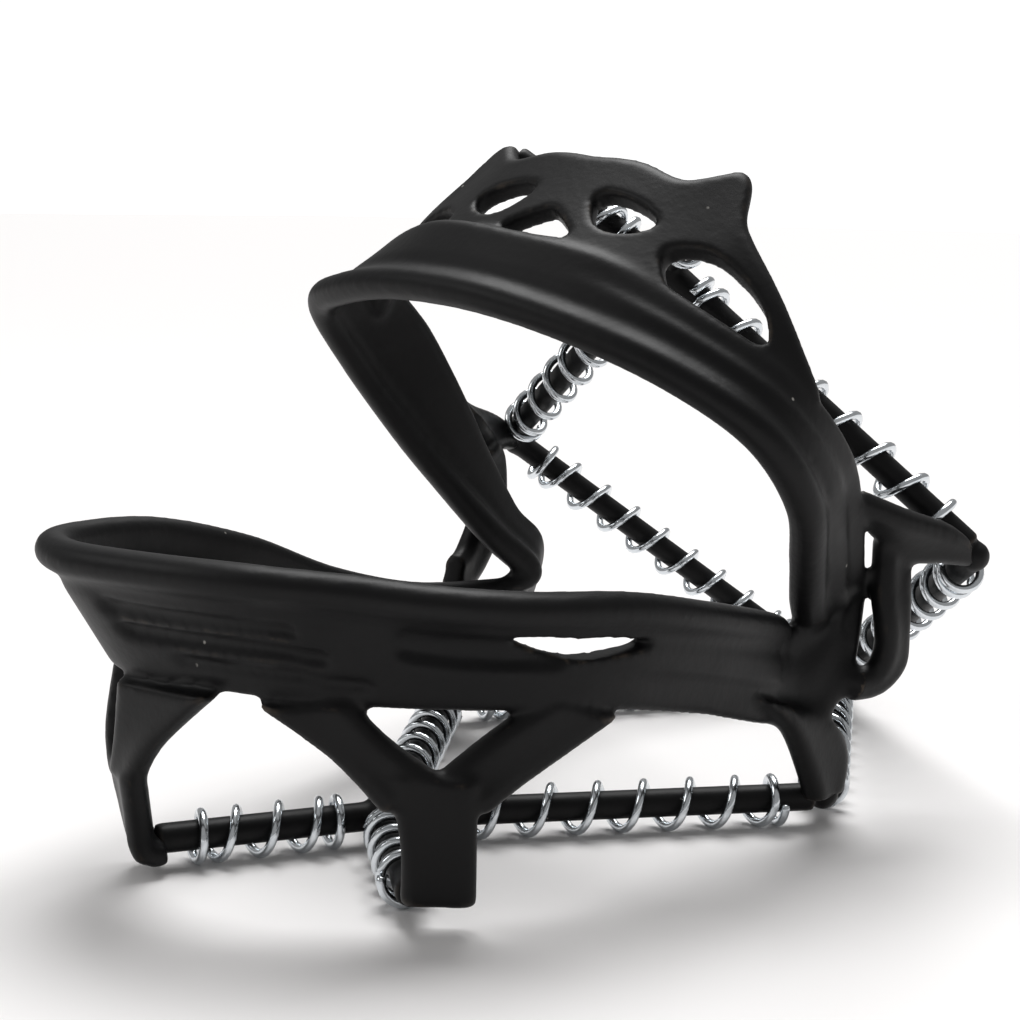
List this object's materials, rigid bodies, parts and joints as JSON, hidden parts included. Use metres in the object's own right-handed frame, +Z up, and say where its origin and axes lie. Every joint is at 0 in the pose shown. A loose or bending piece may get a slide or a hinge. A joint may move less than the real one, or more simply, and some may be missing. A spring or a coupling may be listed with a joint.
{
  "type": "shoe ice cleat",
  "caption": "Pull-over shoe ice cleat: a stretchy rubber sling hooks over heel and toe, and loose wire coils on its sole web grip ice and packed snow.",
  "frame": {"origin": "bottom centre of the bounding box, on the floor the heel half lies on", "axes": "+Y from heel to toe along the heel half's sole, +X towards the wearer's right, +Z up"},
  "size_m": [0.0861, 0.1464, 0.088],
  "materials": {
    "rubber": "satin",
    "zinc_wire": "bright zinc plate"
  },
  "bodies": {
    "heel_half": {"heel_band_back": "rubber", "heel_band_right": "rubber", "heel_band_left": "rubber", "knee_right": "rubber", "knee_left": "rubber", "heel_arm_right": "rubber", "heel_arm_left": "rubber", "arch_arm_right": "rubber", "arch_arm_left": "rubber", "heel_cross": "rubber", "arch_cross": "rubber"},
    "toe_half": {"side_strap_right": "rubber", "side_strap_left": "rubber", "toe_band": "rubber", "toe_bar": "rubber", "toe_struts": "rubber", "toe_corner_right": "rubber", "toe_corner_left": "rubber", "arch_loop_right": "rubber", "arch_loop_left": "rubber", "ball_arm_right": "rubber", "ball_arm_left": "rubber", "toe_cross": "rubber", "ball_cord_right": "rubber", "ball_cord_left": "rubber"},
    "coil_heel_right": {"coil_heel_right": "zinc_wire"},
    "coil_heel_left": {"coil_heel_left": "zinc_wire"},
    "coil_rear_right": {"coil_rear_right": "zinc_wire"},
    "coil_rear_left": {"coil_rear_left": "zinc_wire"},
    "coil_arch_right": {"coil_arch_right": "zinc_wire"},
    "coil_arch_left": {"coil_arch_left": "zinc_wire"},
    "coil_ball_right": {"coil_ball_right": "zinc_wire"},
    "coil_ball_left": {"coil_ball_left": "zinc_wire"},
    "coil_front_right": {"coil_front_right": "zinc_wire"},
    "coil_front_left": {"coil_front_left": "zinc_wire"},
    "coil_toe_right": {"coil_toe_right": "zinc_wire"},
    "coil_toe_left": {"coil_toe_left": "zinc_wire"}
  },
  "joints": [
    {"name": "arch_fold", "type": "hinge", "parent": "heel_half", "child": "toe_half", "pos_m": [-0.0017, 0.0702, 0.0035], "axis": [1, 0, 0], "range_deg": [-20, 0], "deforming": ["knee_right", "knee_left"]},
    {"name": "heel_right_spin", "type": "hinge", "parent": "heel_half", "child": "coil_heel_right", "pos_m": [0.00555, -0.0433, 0.0035], "axis": [0.764, -0.6452, 0], "continuous": true},
    {"name": "heel_left_spin", "type": "hinge", "parent": "heel_half", "child": "coil_heel_left", "pos_m": [-0.01295, -0.0473, 0.0035], "axis": [-0.4731, -0.881, 0], "continuous": true},
    {"name": "rear_right_spin", "type": "hinge", "parent": "heel_half", "child": "coil_rear_right", "pos_m": [0.0128, -0.0113, 0.0035], "axis": [0.6351, 0.7724, 0], "continuous": true},
    {"name": "rear_left_spin", "type": "hinge", "parent": "heel_half", "child": "coil_rear_left", "pos_m": [-0.0217, -0.0103, 0.0035], "axis": [-0.5628, 0.8266, 0], "continuous": true},
    {"name": "arch_right_spin", "type": "hinge", "parent": "heel_half", "child": "coil_arch_right", "pos_m": [0.0148, 0.0407, 0.0035], "axis": [0.4882, -0.8728, 0], "continuous": true},
    {"name": "arch_left_spin", "type": "hinge", "parent": "heel_half", "child": "coil_arch_left", "pos_m": [-0.0197, 0.0417, 0.0035], "axis": [-0.534, -0.8455, 0], "continuous": true},
    {"name": "ball_right_spin", "type": "hinge", "parent": "toe_half", "child": "coil_ball_right", "pos_m": [0.0203, 0.05013, 0.01935], "axis": [0.652, -0.595, 0.4699], "continuous": true},
    {"name": "ball_left_spin", "type": "hinge", "parent": "toe_half", "child": "coil_ball_left", "pos_m": [-0.022, 0.05177, 0.02315], "axis": [-0.6018, -0.5463, 0.5825], "continuous": true},
    {"name": "front_right_spin", "type": "hinge", "parent": "toe_half", "child": "coil_front_right", "pos_m": [0.02226, 0.02094, 0.05387], "axis": [0.6941, 0.3159, -0.6469], "continuous": true},
    {"name": "front_left_spin", "type": "hinge", "parent": "toe_half", "child": "coil_front_left", "pos_m": [-0.02004, 0.02258, 0.05767], "axis": [-0.7717, 0.3729, -0.5152], "continuous": true},
    {"name": "toe_right_spin", "type": "hinge", "parent": "toe_half", "child": "coil_toe_right", "pos_m": [0.01255, 0.00595, 0.07813], "axis": [0.7865, -0.4472, 0.426], "continuous": true},
    {"name": "toe_left_spin", "type": "hinge", "parent": "toe_half", "child": "coil_toe_left", "pos_m": [-0.00735, 0.00672, 0.07992], "axis": [-0.7302, -0.3883, 0.5622], "continuous": true}
  ]
}
